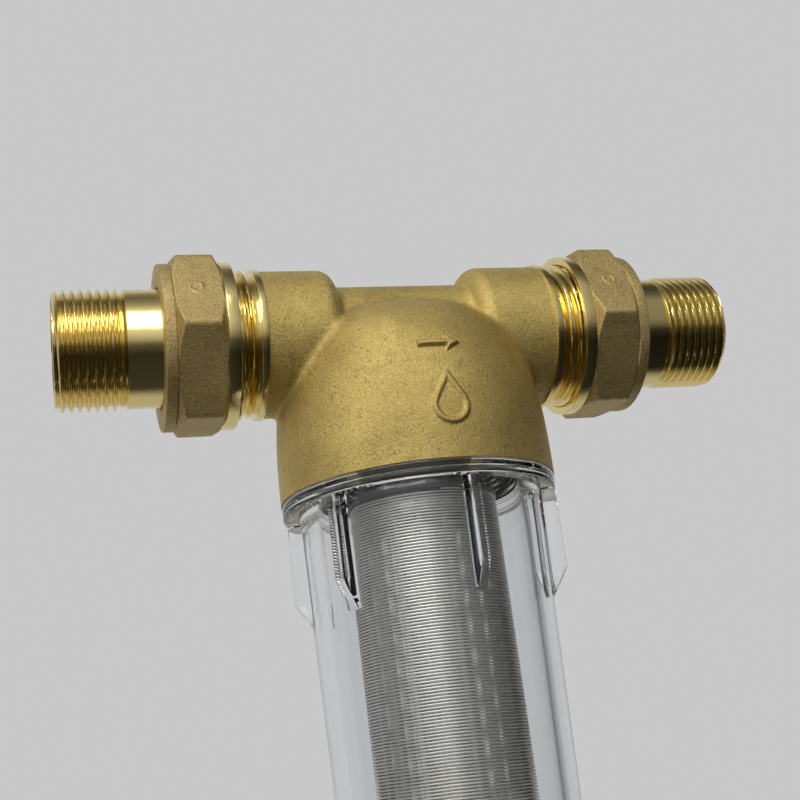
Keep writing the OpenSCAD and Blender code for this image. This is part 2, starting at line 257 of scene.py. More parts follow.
class Nodes:
    """A small builder for the node tree of a procedural material or of the world."""

    def __init__(self, owner, coordinates="Object"):
        """Starts on a material, or on the world with its Generated coordinates."""
        owner.use_nodes = True
        self.owner = owner
        self.tree = owner.node_tree
        self.shader = self.tree.nodes.get("Principled BSDF")
        self.coordinates = self.add("ShaderNodeTexCoord").outputs[coordinates]

    def add(self, kind, inputs=None, **settings):
        """A node. Each input is a value or another node's output, by its name or its index."""
        node = self.tree.nodes.new(kind)
        for key, value in settings.items():
            setattr(node, key, value)
        for key, value in (inputs or {}).items():
            if isinstance(value, bpy.types.NodeSocket):
                self.tree.links.new(value, node.inputs[key])
            else:
                node.inputs[key].default_value = value
        return node

    def set(self, **values):
        """Sets constants on the shader, with _ for a space in a socket's name."""
        for key, value in values.items():
            self.shader.inputs[key.replace("_", " ")].default_value = value

    def link(self, output, socket):
        """Joins an output to a socket of the shader."""
        self.tree.links.new(output, self.shader.inputs[socket])

    def stretched(self, scale):
        """The coordinates, scaled by axis."""
        return self.add("ShaderNodeMapping", {"Vector": self.coordinates, "Scale": scale}
                        ).outputs["Vector"]

    def noise(self, scale, detail=3.0, roughness=0.55, vector=None):
        """Noise of about one lump per 1 / scale metres."""
        return self.add("ShaderNodeTexNoise", {
            "Vector": vector or self.coordinates, "Scale": scale, "Detail": detail,
            "Roughness": roughness}).outputs["Fac"]

    def ramp(self, factor, *stops):
        """A colour ramp. Each stop is (position, colour or grey)."""
        node = self.add("ShaderNodeValToRGB", {"Fac": factor})
        elements = node.color_ramp.elements
        while len(elements) < len(stops):
            elements.new(0.5)
        for element, (position, colour) in zip(elements, stops):
            element.position = position
            element.color = (*colour, 1) if isinstance(colour, tuple) else (colour,) * 3 + (1,)
        return node.outputs["Color"]

    def math(self, operation, *values):
        """The result of a Math node."""
        return self.add("ShaderNodeMath", dict(enumerate(values)), operation=operation).outputs[0]

    def mix(self, factor, first, second, blend="MIX"):
        """Mix of two colours. The first is an output."""
        if isinstance(second, tuple):
            second = (*second, 1)
        return self.add("ShaderNodeMix", {0: factor, 6: first, 7: second},
                        data_type="RGBA", blend_type=blend).outputs[2]

    def bump(self, height, strength, distance, normal=None):
        """A bumped normal. The distance is in metres."""
        inputs = {"Height": height, "Strength": strength, "Distance": distance}
        if normal is not None:
            inputs["Normal"] = normal
        return self.add("ShaderNodeBump", inputs).outputs["Normal"]


def cast_brass(name, light, mid, dark, stain):
    """Sand-cast, shot-blasted brass: fine grain, soft blotches and brown stains."""
    m = Nodes(bpy.data.materials.new(name))
    m.set(Metallic=1.0)
    blotch = m.noise(85, 4, 0.6)
    colour = m.ramp(blotch, (0.32, dark), (0.5, mid), (0.68, light))
    stains = m.ramp(m.noise(170, 6, 0.7), (0.55, 0.0), (0.74, 0.85))
    colour = m.mix(stains, colour, stain)
    grain = m.noise(2500, 4, 0.72)
    pits = m.ramp(m.noise(1900, 3, 0.6), (0.30, 0.62), (0.46, 1.0))
    colour = m.mix(m.ramp(grain, (0.30, 0.0), (0.72, 1.0)), colour,
                   m.mix(0.60, colour, (0.82, 0.64, 0.28), "SCREEN"))
    colour = m.mix(1.0, colour, pits, "MULTIPLY")
    m.link(colour, "Base Color")
    m.link(m.ramp(m.noise(900, 3), (0.3, 0.46), (0.7, 0.64)), "Roughness")
    coarse = m.bump(m.noise(600, 2, 0.5), 0.22, 0.00020)
    m.link(m.bump(grain, 1.0, 0.00021, coarse), "Normal")
    return m.owner


def machined_brass(name, axis, base=(0.90, 0.73, 0.31), roughness=0.13):
    """Turned brass: bright, with fine tool marks round the axis and light handling marks."""
    m = Nodes(bpy.data.materials.new(name))
    m.set(Metallic=1.0)
    tint = m.noise(60, 3)
    m.link(m.ramp(tint, (0.3, tuple(c * 0.92 for c in base)), (0.7, base)), "Base Color")
    smear = m.noise(240, 4, 0.6)
    m.link(m.ramp(smear, (0.35, roughness * 0.75), (0.7, roughness * 1.5)), "Roughness")
    scale = {"x": (9000, 14, 14), "z": (14, 14, 9000)}[axis]
    marks = m.noise(1.0, 2, 0.5, m.stretched(scale))
    m.link(m.bump(marks, 0.30, 0.00003), "Normal")
    return m.owner


def steel(name, base, roughness, grain_scale=(400, 400, 4000)):
    """Stainless steel with a drawn grain and slight heat tint."""
    m = Nodes(bpy.data.materials.new(name))
    m.set(Metallic=1.0)
    warm = tuple(c * k for c, k in zip(base, (1.0, 0.96, 0.90)))
    m.link(m.ramp(m.noise(70, 3), (0.35, base), (0.7, warm)), "Base Color")
    grain = m.noise(1.0, 2, 0.5, m.stretched(grain_scale))
    m.link(m.ramp(grain, (0.3, roughness * 0.8), (0.7, roughness * 1.3)), "Roughness")
    m.link(m.bump(grain, 0.25, 0.00002), "Normal")
    return m.owner


def rubber(name):
    """Matt black rubber."""
    m = Nodes(bpy.data.materials.new(name))
    m.link(m.ramp(m.noise(900, 3), (0.3, 0.012), (0.7, 0.035)), "Base Color")
    m.link(m.ramp(m.noise(500, 3), (0.3, 0.45), (0.7, 0.65)), "Roughness")
    m.link(m.bump(m.noise(2500, 2), 0.3, 0.00003), "Normal")
    return m.owner


def moulded_plastic(name, base, roughness, mottle=0.85):
    """Injection-moulded plastic with a fine spark-eroded grain."""
    m = Nodes(bpy.data.materials.new(name))
    shade = tuple(c * mottle for c in base)
    m.link(m.ramp(m.noise(140, 3), (0.3, shade), (0.7, base)), "Base Color")
    m.link(m.ramp(m.noise(600, 3), (0.3, roughness * 0.8), (0.7, roughness * 1.3)), "Roughness")
    m.link(m.bump(m.noise(2600, 2), 0.25, 0.00004), "Normal")
    return m.owner


def clear_plastic(name):
    """Clear bowl plastic, with the faint waviness of a moulding."""
    m = Nodes(bpy.data.materials.new(name))
    m.set(Base_Color=(0.93, 0.95, 0.955, 1), Transmission_Weight=1.0, IOR=1.52)
    m.link(m.ramp(m.noise(300, 3), (0.4, 0.012), (0.75, 0.05)), "Roughness")
    wave = m.noise(1.0, 2, 0.5, m.stretched((60, 60, 22)))
    m.link(m.bump(wave, 0.10, 0.0004), "Normal")
    return m.owner


CAST = cast_brass("cast_brass", (0.72, 0.53, 0.155), (0.60, 0.43, 0.115), (0.44, 0.305, 0.08),
                  (0.24, 0.155, 0.055))
FORGED = cast_brass("forged_brass", (0.60, 0.43, 0.165), (0.51, 0.36, 0.135),
                    (0.40, 0.275, 0.10), (0.25, 0.155, 0.07))
TURNED_X = machined_brass("machined_brass_x", "x")
TURNED_Z = machined_brass("machined_brass_z", "z")
SCREEN_STEEL = steel("screen_steel", (0.55, 0.54, 0.52), 0.30, (60, 60, 3000))
CAP_STEEL = steel("cap_steel", (0.60, 0.60, 0.59), 0.22)
PLATED = steel("plated_ball", (0.80, 0.80, 0.82), 0.06, (90, 90, 90))
MAGNET = steel("magnet_plating", (0.55, 0.55, 0.57), 0.18)
RUBBER = rubber("black_rubber")
SEAT = moulded_plastic("white_seat", (0.86, 0.86, 0.83), 0.4, 0.95)
CAP_GREY = moulded_plastic("cap_grey", (0.045, 0.045, 0.043), 0.35)
RED = moulded_plastic("red_lever", (0.50, 0.025, 0.020), 0.28)
CLEAR = clear_plastic("clear_plastic")


# ---------------------------------------------------------------- head casting

def outline_distance(outline, x, z):
    """Signed distance in a plane to a closed outline, negative inside."""
    best = np.full(x.shape, 1e9)
    inside = np.zeros(x.shape, bool)
    count = len(outline)
    for i in range(count):
        (ax, az), (bx, bz) = outline[i], outline[(i + 1) % count]
        ex, ez = bx - ax, bz - az
        t = np.clip(((x - ax) * ex + (z - az) * ez) / (ex * ex + ez * ez), 0, 1)
        best = np.minimum(best, np.hypot(x - ax - t * ex, z - az - t * ez))
        if az != bz:
            crosses = ((az > z) != (bz > z)) & (x < ax + (z - az) / (bz - az) * ex)
            inside ^= crosses
    return np.where(inside, -best, best)


def arrow_outline():
    """The flow arrow, which points along +X."""
    middle_x, middle_z = 0.3, -11.0
    half, neck, shaft, barb = 4.5, 1.5, 0.7, 1.75
    outline = [(-half, -shaft), (neck, -shaft), (neck, -barb), (half, 0), (neck, barb),
               (neck, shaft), (-half, shaft)]
    return [(middle_x + x, middle_z + z) for x, z in outline]


def drop_outline():
    """A water drop: a round belly whose sides run up to a point."""
    middle_x, middle_z, radius = 0.6, -25.0, 3.4
    belly = [(middle_x + radius * math.cos(a), middle_z + radius * math.sin(a))
             for a in np.radians(np.arange(150, 391, 10))]
    return belly + [(middle_x, middle_z + 2 * radius)]


def bell_distance(x, y, z):
    """Distance to the bell: a round wall that closes in a dome."""
    radius = np.hypot(x, y)
    up = np.maximum(z - BELL_FOOT, 0) / DOME_H
    out = radius / BELL_R
    value = (up ** DOME_POWER + out ** DOME_POWER + 1e-12) ** (1 / DOME_POWER)
    slope_up = (up / value) ** (DOME_POWER - 1) / DOME_H
    slope_out = (out / value) ** (DOME_POWER - 1) / BELL_R
    return (value - 1) / np.maximum(np.hypot(slope_up, slope_out), 1e-4)


def head_distance(points):
    """Signed distance to the outside of the casting, with its cast fillets."""
    x, y, z = points.T
    across = np.hypot(y, z)
    barrel = across - BARREL_R
    boss_round, boss_start = 3.5, 19.0
    corner_x = boss_start - np.abs(x)
    corner_r = across - (BOSS_R - boss_round)
    boss = (np.hypot(np.maximum(corner_x, 0), np.maximum(corner_r, 0))
            + np.minimum(np.maximum(corner_x, corner_r), 0) - boss_round)
    pipe = smooth_min(barrel, boss, 1.6)
    bell = bell_distance(x, y, z)
    return smooth_min(pipe, bell, 1.5)


def mark_height(x, z):
    """Height of the raised arrow and drop above the bell, with rounded shoulders."""
    arrow = outline_distance(arrow_outline(), x, z)
    drop = np.abs(outline_distance(drop_outline(), x, z)) - 0.6
    foot, shoulder = 0.3, 0.75
    return np.maximum(*(top * smooth_step(np.clip((foot - distance) / shoulder, 0, 1))
                        for distance, top in ((arrow, ARROW_TOP), (drop, DROP_TOP))))


def outward(points, distance):
    """Gradient of a distance function."""
    step = 0.02
    return np.stack([(distance(points + step * e) - distance(points - step * e)) / (2 * step)
                     for e in np.eye(3)], -1)


def pull_to_surface(points, distance, rounds):
    """Moves points onto the zero level of a distance function."""
    for _ in range(rounds):
        value = distance(points)
        slope = outward(points, distance)
        slope /= np.maximum((slope ** 2).sum(-1, keepdims=True), 0.25)
        points = points - np.clip(value, -0.6, 0.6)[:, None] * slope
    return points


def rough_union(extent):
    """A closed block that holds the casting, remeshed to an even net of small faces."""
    bars = [("z", BELL_R - 0.6, BELL_FOOT - extent, -12), ("z", 24, -14, -1),
            ("x", BARREL_R, -20, 20), ("x", BOSS_R - 0.5, 17, BOSS_END + extent),
            ("x", BOSS_R - 0.5, -BOSS_END - extent, -17)]
    work = bmesh.new()
    for axis, radius, low, high in bars:
        turn = Matrix.Rotation(math.pi / 2, 4, "Y") if axis == "x" else Matrix.Identity(4)
        middle = (low + high) / 2
        shift = (middle, 0, 0) if axis == "x" else (0, 0, middle)
        bmesh.ops.create_cone(work, cap_ends=True, segments=96, radius1=radius, radius2=radius,
                              depth=high - low, matrix=Matrix.Translation(shift) @ turn)
    mesh = bpy.data.meshes.new("head_rough")
    work.to_mesh(mesh)
    work.free()
    obj = linked("head_rough", mesh)
    modifier = obj.modifiers.new("net", "REMESH")
    modifier.mode = "VOXEL"
    modifier.voxel_size = 0.55
    return obj


def applied(obj):
    """The mesh of an object after its modifiers, as a bmesh. The object is removed."""
    evaluated = obj.evaluated_get(bpy.context.evaluated_depsgraph_get())
    work = bmesh.new()
    work.from_mesh(evaluated.to_mesh())
    evaluated.to_mesh_clear()
    bpy.data.objects.remove(obj)
    return work


def bmesh_points(work):
    """The points of a bmesh as an array."""
    return np.array([v.co for v in work.verts], float)


def set_bmesh_points(work, points):
    """Moves the points of a bmesh to those of an array."""
    for vert, point in zip(work.verts, points.tolist()):
        vert.co = point


def lathe_tool(outline, axis, columns=96):
    """A solid for cutting, turned from an open outline whose ends lie on the axis."""
    angle = ring_angles(columns)
    points = np.concatenate([place(a, r, angle, axis) for a, r in outline])
    faces = grid_faces(len(outline), columns, False)
    faces.append(list(range(columns))[::-1])
    faces.append(list(range((len(outline) - 1) * columns, len(outline) * columns)))
    mesh = bpy.data.meshes.new("tool")
    mesh.from_pydata((points * MM).tolist(), [], faces)
    work = bmesh.new()
    work.from_mesh(mesh)
    bmesh.ops.recalc_face_normals(work, faces=work.faces)
    work.to_mesh(mesh)
    work.free()
    return linked("tool", mesh)


def cut_with(obj, tools):
    """Cuts solids out of a solid, and removes the tools."""
    for tool in tools:
        modifier = obj.modifiers.new("cut", "BOOLEAN")
        modifier.operation = "DIFFERENCE"
        modifier.solver = "EXACT"
        modifier.object = tool
    evaluated = obj.evaluated_get(bpy.context.evaluated_depsgraph_get())
    mesh = bpy.data.meshes.new_from_object(evaluated)
    obj.modifiers.clear()
    obj.data = mesh
    for tool in tools:
        bpy.data.objects.remove(tool)


def near_marks(face):
    """Whether a face lies on the front of the bell, round the arrow and the drop."""
    x, y, z = face.calc_center_median()
    return y < -20 and abs(x) < 6.5 and -31 < z < -7


def make_head():
    """The casting: a net pulled onto its outside, with raised marks, flat ends and cavities."""
    extent = 4.0
    work = applied(rough_union(extent))
    points = pull_to_surface(bmesh_points(work), head_distance, 4)
    set_bmesh_points(work, points)
    bmesh.ops.smooth_vert(work, verts=work.verts, factor=0.5, use_axis_x=True,
                          use_axis_y=True, use_axis_z=True)
    edges = list({edge for face in work.faces if near_marks(face) for edge in face.edges})
    bmesh.ops.subdivide_edges(work, edges=edges, cuts=3, use_grid_fill=True)
    points = bmesh_points(work)
    kept = ((points[:, 2] > BELL_FOOT - extent + 1)
            & (np.abs(points[:, 0]) < BOSS_END + extent - 1))
    points[kept] = pull_to_surface(points[kept], head_distance, 4)
    front = points[:, 1] < -15
    lift = mark_height(points[front, 0], points[front, 2])
    points[front] += lift[:, None] * outward(points[front], head_distance)
    set_bmesh_points(work, points)
    for normal, place_at in (((0, 0, -1), (0, 0, BELL_FOOT)), ((1, 0, 0), (BOSS_END, 0, 0)),
                             ((-1, 0, 0), (-BOSS_END, 0, 0))):
        geometry = list(work.verts) + list(work.edges) + list(work.faces)
        cut = bmesh.ops.bisect_plane(work, geom=geometry, plane_co=place_at, plane_no=normal,
                                     clear_outer=True)
        rim = [e for e in cut["geom_cut"] if isinstance(e, bmesh.types.BMEdge)]
        bmesh.ops.contextual_create(work, geom=rim)
    bmesh.ops.recalc_face_normals(work, faces=work.faces)
    bmesh.ops.scale(work, vec=(MM, MM, MM), verts=work.verts)
    mesh = bpy.data.meshes.new("head_body")
    work.to_mesh(mesh)
    work.free()
    head = linked("head_body", mesh)
    cut_with(head, head_cavities())
    sharpen(head, 40)
    return head


def head_cavities():
    """The bowl's bore, the chamber round the screen's socket and the two water ways."""
    bore_r, bore_top = NECK_R + 0.1, BELL_FOOT + 19
    wall_out, wall_in, chamber_r, chamber_top = 15.55, 12.55, 23.0, -12.0
    socket_foot = -30.0
    lower = lathe_tool([
        (BELL_FOOT - 1, 0.001), (BELL_FOOT - 1, bore_r + 1.4), (BELL_FOOT + 0.6, bore_r),
        (bore_top, bore_r), (bore_top, chamber_r), (chamber_top, chamber_r),
        (chamber_top, wall_out), (socket_foot, wall_out), (socket_foot, wall_in),
        (chamber_top - 2, wall_in), (chamber_top - 2, 9.5), (-1.0, 9.5), (-1.0, 0.001)], "z")
    outlet = lathe_tool([(0.3, 0.001), (0.3, WAY_R), (BOSS_END + 1, WAY_R),
                         (BOSS_END + 1, 0.001)], "x")
    inlet = lathe_tool([(-BOSS_END - 1, 0.001), (-BOSS_END - 1, WAY_R), (-16.6, WAY_R),
                        (-16.6, 0.001)], "x")
    window = lathe_tool([(-22.4, 0.001), (-22.4, 9), (-15.9, 9), (-15.9, 0.001)], "x")
    window.data.transform(Matrix.Translation((0, 0, -8 * MM)))
    return [lower, outlet, inlet, window]


finish_piece(make_head(), "head", "cast_brass", CAST, "head_casting")


def make_port(name, flip):
    """Machined shoulder ring and helical G 1 thread of one port."""
    ring_r, ring_w = 16.8, 1.5
    thread_start = BOSS_END + ring_w
    depth = 1.48
    columns = 192
    angle = ring_angles(columns)
    edge = fillet([(BOSS_END, WAY_R), (BOSS_END, ring_r), (thread_start, ring_r),
                   (thread_start, PORT_THREAD_R - depth)], [0, 0.12, 0.2, 0], 3)
    along, radius = map(list, zip(*edge))
    count = int((PORT_END - 0.1 - thread_start) / PORT_PITCH * ROWS_PER_TURN)
    levels = np.linspace(thread_start + 0.05, PORT_END - 0.05, count)
    along += list(levels)
    radius += thread_rows(levels, -angle if flip else angle, thread_start + 0.6, PORT_END,
                          PORT_PITCH, PORT_THREAD_R, depth, 1.2)
    along += [PORT_END - 0.05, PORT_END - 0.05, PORT_END - 0.55]
    radius += [PORT_THREAD_R - depth, WAY_R + 0.5, WAY_R]
    obj = ring_surface(name, along, radius, "x", flip, columns, 30)
    return finish_piece(obj, "head", "machined_brass", TURNED_X)


make_port("port_inlet", True)
make_port("port_outlet", False)


# ---------------------------------------------------------------- unions

def make_tail(name, flip, body, node):
    """Turned tail: flange in the nut, plain shank, undercut and helical R 3/4 thread."""
    start = TAIL_END - TAIL_THREAD_LEN
    depth = 1.16
    columns = 192
    angle = ring_angles(columns)
    root = TAIL_THREAD_R - depth
    flange_back = NUT_SHOULDER - 0.1
    edge = fillet([(TAIL_FACE, WAY_R), (TAIL_FACE, TAIL_FLANGE_R), (flange_back, TAIL_FLANGE_R),
                   (flange_back, SHANK_R), (start - 0.5, SHANK_R), (start + 0.1, root)],
                  [0.3, 0.3, 0.3, 0.4, 0.15, 0], 3)
    along, radius = map(list, zip(*edge))
    levels = np.linspace(start + 0.2, TAIL_END - 0.02,
                         int(TAIL_THREAD_LEN / TAIL_PITCH * ROWS_PER_TURN))
    along += list(levels)
    radius += thread_rows(levels, -angle if flip else angle, start, TAIL_END, TAIL_PITCH,
                          TAIL_THREAD_R, depth, 1.1)
    along += [TAIL_END, TAIL_END, TAIL_END - 0.8]
    radius += [root, WAY_R + 0.8, WAY_R]
    obj = ring_surface(name, along, radius, "x", flip, columns, 30)
    return finish_piece(obj, body, "machined_brass", TURNED_X, node)


make_tail("tail_inlet", True, "inlet_union", "inlet_tail")
make_tail("tail_outlet", False, "outlet_union", "outlet_tail")

NUT_FLAT = 18.0
NUT_RING_R = 18.5
NUT_COLLAR_R = 18.3
HEX_IN = NUT_IN + 2.5
HEX_OUT = NUT_OUT - 2.3
HEX_TURN = math.radians(24.6)


def make_nut(name, flip, body, node):
    """Union nut: hexagon with soft corners and a small raised ring, between two turned ends."""
    columns = 360
    angle = ring_angles(columns)
    flat = hexagon_radius(angle, NUT_FLAT, HEX_TURN, 0.9)
    cone_slope, cone_blend = 1.75, 0.5
    ring_along, ring_mark_r, ring_half, ring_rise = (HEX_IN + HEX_OUT) / 2 + 0.4, 1.3, 0.45, 0.22
    along, radius = [], []
    for a in np.linspace(HEX_IN + 0.05, HEX_OUT - 0.05, 60):
        cone_in = NUT_RING_R - 0.5 + (a - HEX_IN) * cone_slope
        cone_out = NUT_COLLAR_R - 0.5 + (HEX_OUT - a) * cone_slope
        r = smooth_min(smooth_min(flat, cone_in, cone_blend), cone_out, cone_blend)
        reach = np.hypot((angle - HEX_TURN) * NUT_FLAT, a - ring_along)
        ring_mark = smooth_step(np.clip(1 - np.abs(reach - ring_mark_r) / ring_half, 0, 1))
        along.append(a)
        radius.append(r + ring_rise * ring_mark)
    thread_r = PORT_THREAD_R + 0.08
    along += [HEX_OUT - 0.05, HEX_IN + 0.05]
    radius += [thread_r + 0.2, thread_r + 0.2]
    hexagon = ring_surface(name + "_hexagon", along, radius, "x", flip, columns, 50)
    finish_piece(hexagon, body, "forged_brass", FORGED, node)

    ring = fillet([(NUT_IN, thread_r), (NUT_IN, NUT_RING_R), (HEX_IN, NUT_RING_R),
                   (HEX_IN + 0.6, NUT_RING_R - 0.6), (HEX_IN + 0.6, thread_r)],
                  [0.35, 0.3, 0.15, 0.0, 0.0], 3)
    obj = turned(name + "_ring", ring, "x", flip, 160, 30)
    finish_piece(obj, body, "machined_brass", TURNED_X)
    hole_r = 13.4
    collar = fillet([(NUT_SHOULDER, thread_r + 0.1), (HEX_OUT - 0.6, NUT_COLLAR_R - 0.7),
                     (HEX_OUT, NUT_COLLAR_R), (NUT_OUT, NUT_COLLAR_R), (NUT_OUT, hole_r),
                     (NUT_SHOULDER, hole_r)], [0.0, 0.0, 0.2, 0.45, 0.4, 0.0], 3)
    obj = turned(name + "_collar", collar, "x", flip, 160, 30)
    finish_piece(obj, body, "forged_brass", FORGED)


make_nut("nut_inlet", True, "inlet_nut", "inlet_union_nut")
make_nut("nut_outlet", False, "outlet_nut", "outlet_union_nut")


# ---------------------------------------------------------------- bowl

def bowl_radius(z):
    """Outer radius of the bowl's wall."""
    return BOWL_TOP_R - BOWL_DRAFT * (BELL_FOOT - COLLAR_H - z)


RIB_HALF = 1.15
RIB_REACH = COLLAR_R - 0.2
RIB_STRAIGHT = BELL_FOOT - COLLAR_H - 17.5
RIB_END = BELL_FOOT - COLLAR_H - 23.5


def rib_reach(z):
    """Radius of a rib's outer edge: straight, then slanting back to the wall."""
    if z >= RIB_STRAIGHT:
        return RIB_REACH
    share = (z - RIB_END) / (RIB_STRAIGHT - RIB_END)
    return bowl_radius(z) + max(share, 0) * (RIB_REACH - bowl_radius(z))


def bowl_columns(z, ribs):
    """Radius and angle of each column round the bowl at one height."""
    wall = bowl_radius(z)
    rise = (rib_reach(z) - wall) if ribs else 0.0
    k = min(max(rise, 0) / 0.8, 1.0)
    side = [(-0.9, 0.0), (-0.35, 0.06 * k), (-0.1, 0.3 * k), (0.05, max(rise - 0.35, 0.3 * k)),
            (0.15, rise - 0.1 * k), (0.4, rise)]
    profile = [(s - RIB_HALF, h if rise > 0 else 0.0) for s, h in side]
    profile += [(-s, h) for s, h in reversed(profile)]
    radius, angle = [], []
    arc = 2 * math.pi / RIB_COUNT
    steps = 18
    for i in range(RIB_COUNT):
        middle = RIB_TURN + i * arc
        for s, h in profile:
            radius.append(wall + h)
            angle.append(middle + math.asin(s / (wall + h)))
        first = math.asin((RIB_HALF + 0.9) / wall)
        for t in np.linspace(0, 1, steps + 2)[1:-1]:
            radius.append(wall)
            angle.append(middle + first + t * (arc - 2 * first))
    return np.array(radius), np.array(angle)


def make_bowl():
    """Clear bowl: threaded neck, collar, ribs, tapered wall and a foot with the valve's hole."""
    top = BELL_FOOT - COLLAR_H
    seat = BELL_FOOT - 0.1
    base_angle = bowl_columns(RIB_END - 5, False)[1]
    columns = len(base_angle)
    rows = []

    def ring(z, r):
        """Adds a round row, with its points at the angles of the ribs."""
        rows.append(place(z, r, base_angle, "z"))

    groove = NECK_TOP - 4.2
    for z, r in ((NECK_TOP, NECK_R - 0.5), (NECK_TOP - 0.5, NECK_R), (groove + 2.3, NECK_R),
                 (groove + 2.2, NECK_R - 0.1), (groove + 2.2, NECK_R - 2),
                 (groove, NECK_R - 2), (groove, NECK_R - 0.1), (groove - 0.1, NECK_R),
                 (groove - 1.6, NECK_R), (groove - 2.2, NECK_R - 1)):
        ring(z, r)
    pitch = 3.0
    thread_top, thread_low = groove - 2.6, seat + 1.0
    for z in np.linspace(thread_top, thread_low, 44):
        phase = (z / pitch + base_angle / (2 * math.pi)) % 1.0
        height = np.clip((0.72 - np.abs(phase - 0.5) * 2) / 0.4, 0, 1)
        fade = min(1, (thread_top - z) / 0.8, (z - thread_low) / 0.8)
        ring(z, NECK_R - 1 + smooth_step(height) * max(fade, 0))
    ring(seat + 0.2, NECK_R - 1)
    band = seat - 1.5
    for z, r in fillet([(seat, NECK_R - 1), (seat, COLLAR_R), (band, COLLAR_R),
                        (band - 0.1, COLLAR_R - 0.35), (band - 0.35, COLLAR_R - 0.35),
                        (band - 0.45, COLLAR_R), (top, COLLAR_R), (top, NECK_R)],
                       [0, 0.3, 0.12, 0.05, 0.05, 0.15, 0.75, 0], 4)[1:-1]:
        ring(z, r)
    rows.append(place(top, COLLAR_R - 1.6, base_angle, "z"))
    lip = bowl_columns(top, True)
    rows.append(place(top - 0.02, np.minimum(lip[0], COLLAR_R - 0.8), lip[1], "z"))
    levels = [top - 0.5] + list(np.linspace(top - 1.5, RIB_STRAIGHT + 0.4, 10))
    levels += [RIB_STRAIGHT, RIB_STRAIGHT - 0.4] + list(np.linspace(RIB_STRAIGHT - 1, RIB_END, 12))
    levels += list(np.linspace(RIB_END - 1, BOWL_LOW, 16))
    for z in levels:
        r, a = bowl_columns(z, z > RIB_END)
        if z > top - 1:
            a = lip[1]
        rows.append(place(z, r, a, "z"))
    low_r, boss_r = bowl_radius(BOWL_LOW), 15.0
    for a in np.radians(np.arange(80, -1, -10)):
        ring(BOWL_LOW - 9 * math.cos(a), boss_r + 1 + (low_r - boss_r - 1) * math.sin(a))
    for z, r in ((BOWL_LOW - 9.4, boss_r + 0.35), (BOWL_LOW - 10, boss_r),
                 (BOWL_FOOT + 0.5, boss_r), (BOWL_FOOT + 0.15, boss_r - 0.15),
                 (BOWL_FOOT, boss_r - 0.5), (BOWL_FOOT, 11.2), (BOWL_FOOT + 0.6, 10.55),
                 (BOWL_LOW - 7.4, 10.55), (BOWL_LOW - 7, 11)):
        ring(z, r)
    for a in np.radians(np.arange(0, 91, 10)):
        ring(BOWL_LOW + 1 - 8 * math.cos(a), 13 + (low_r - BOWL_WALL - 13) * math.sin(a))
    inner_top = bowl_radius(top) - BOWL_WALL - 0.2
    for z in np.linspace(BOWL_LOW + 3, top - 0.5, 14):
        ring(z, bowl_radius(z) - BOWL_WALL)
    for z, r in ((top + 1.2, inner_top), (NECK_TOP - 0.5, inner_top), (NECK_TOP, inner_top + 0.5)):
        ring(z, r)
    points = np.concatenate(rows)
    return new_object("bowl_clear", points, grid_faces(len(rows), columns, True), 28)


bowl = finish_piece(make_bowl(), "bowl_unit", "clear_plastic", CLEAR, "bowl")
bowl.visible_shadow = False


# ---------------------------------------------------------------- screen

def make_cap():
    """Moulded cap of the screen: a rim over the wires and a spigot with a groove for its ring."""
    bore, rim_r, spigot_r, groove_r = 9.0, span("screen_top_cap", 0)[1], 12.45, 10.85
    rim_top, spigot_top = SCREEN_TOP + 2.2, span("screen_top_cap", 2)[1]
    ring_low, ring_high = span("screen_top_oring", 2)
    outline = [(WIRE_TOP, bore), (WIRE_TOP, rim_r), (rim_top, rim_r), (rim_top, spigot_r),
               (ring_low - 0.4, spigot_r), (ring_low - 0.4, groove_r),
               (ring_high + 0.4, groove_r), (ring_high + 0.4, spigot_r),
               (spigot_top, spigot_r), (spigot_top, bore)]
    return turned("screen_cap", fillet(outline, [0, 0.2, 0.3, 0.3, 0.1, 0.1, 0.1, 0.1, 0.4, 0.2]))


def make_screen():
    """Wedge wire wound in one long helix, with a slot between its turns."""
    pitch, face, depth = 0.65, 0.43, 0.75
    turns = int((WIRE_TOP - SCREEN_LOW - face) / pitch)
    segments = 120
    steps = turns * segments
    angle = np.arange(steps + 1) * 2 * math.pi / segments
    middle = WIRE_TOP - face / 2 - 0.02 - angle / (2 * math.pi) * pitch
    section = [(-face / 2, -0.15), (-face * 0.36, -0.04), (0.0, 0.0), (face * 0.36, -0.04),
               (face / 2, -0.15), (face * 0.16, -depth), (-face * 0.16, -depth)]
    loops = np.stack([place(middle + s, SCREEN_R + h, angle, "z") for s, h in section], 1)
    sides = len(section)
    faces = [[i * sides + j, i * sides + (j + 1) % sides,
              (i + 1) * sides + (j + 1) % sides, (i + 1) * sides + j]
             for i in range(steps) for j in range(sides)]
    faces.append(list(range(sides)))
    faces.append(list(range(steps * sides, (steps + 1) * sides))[::-1])
    return new_object("screen_wedge_wire", loops.reshape(-1, 3), faces, 40)


finish_piece(make_screen(), "cartridge", "screen_steel", SCREEN_STEEL, "screen_wire")
finish_piece(make_cap(), "cartridge", "screen_steel", CAP_GREY, "screen_top_cap")


# ---------------------------------------------------------------- drain valve

def hexagon_ring(name, flat, low, high, bore, turn, chamfer=0.9):
    """A hexagonal ring about Z, with turned chamfers and soft corners."""
    columns = 240
    angle = ring_angles(columns)
    shape = hexagon_radius(angle, flat, turn, 0.4)
    along, radius = [low], [bore]
    for z in np.linspace(low, high, 30):
        cone = min(z - low, high - z) * 1.7 + flat * 1.03 - chamfer * 0.3
        along.append(z)
        radius.append(smooth_min(shape, np.full(columns, cone), 0.25))
    along.append(high)
    radius.append(bore)
    return ring_surface(name, along, radius, "z", False, columns, 30)


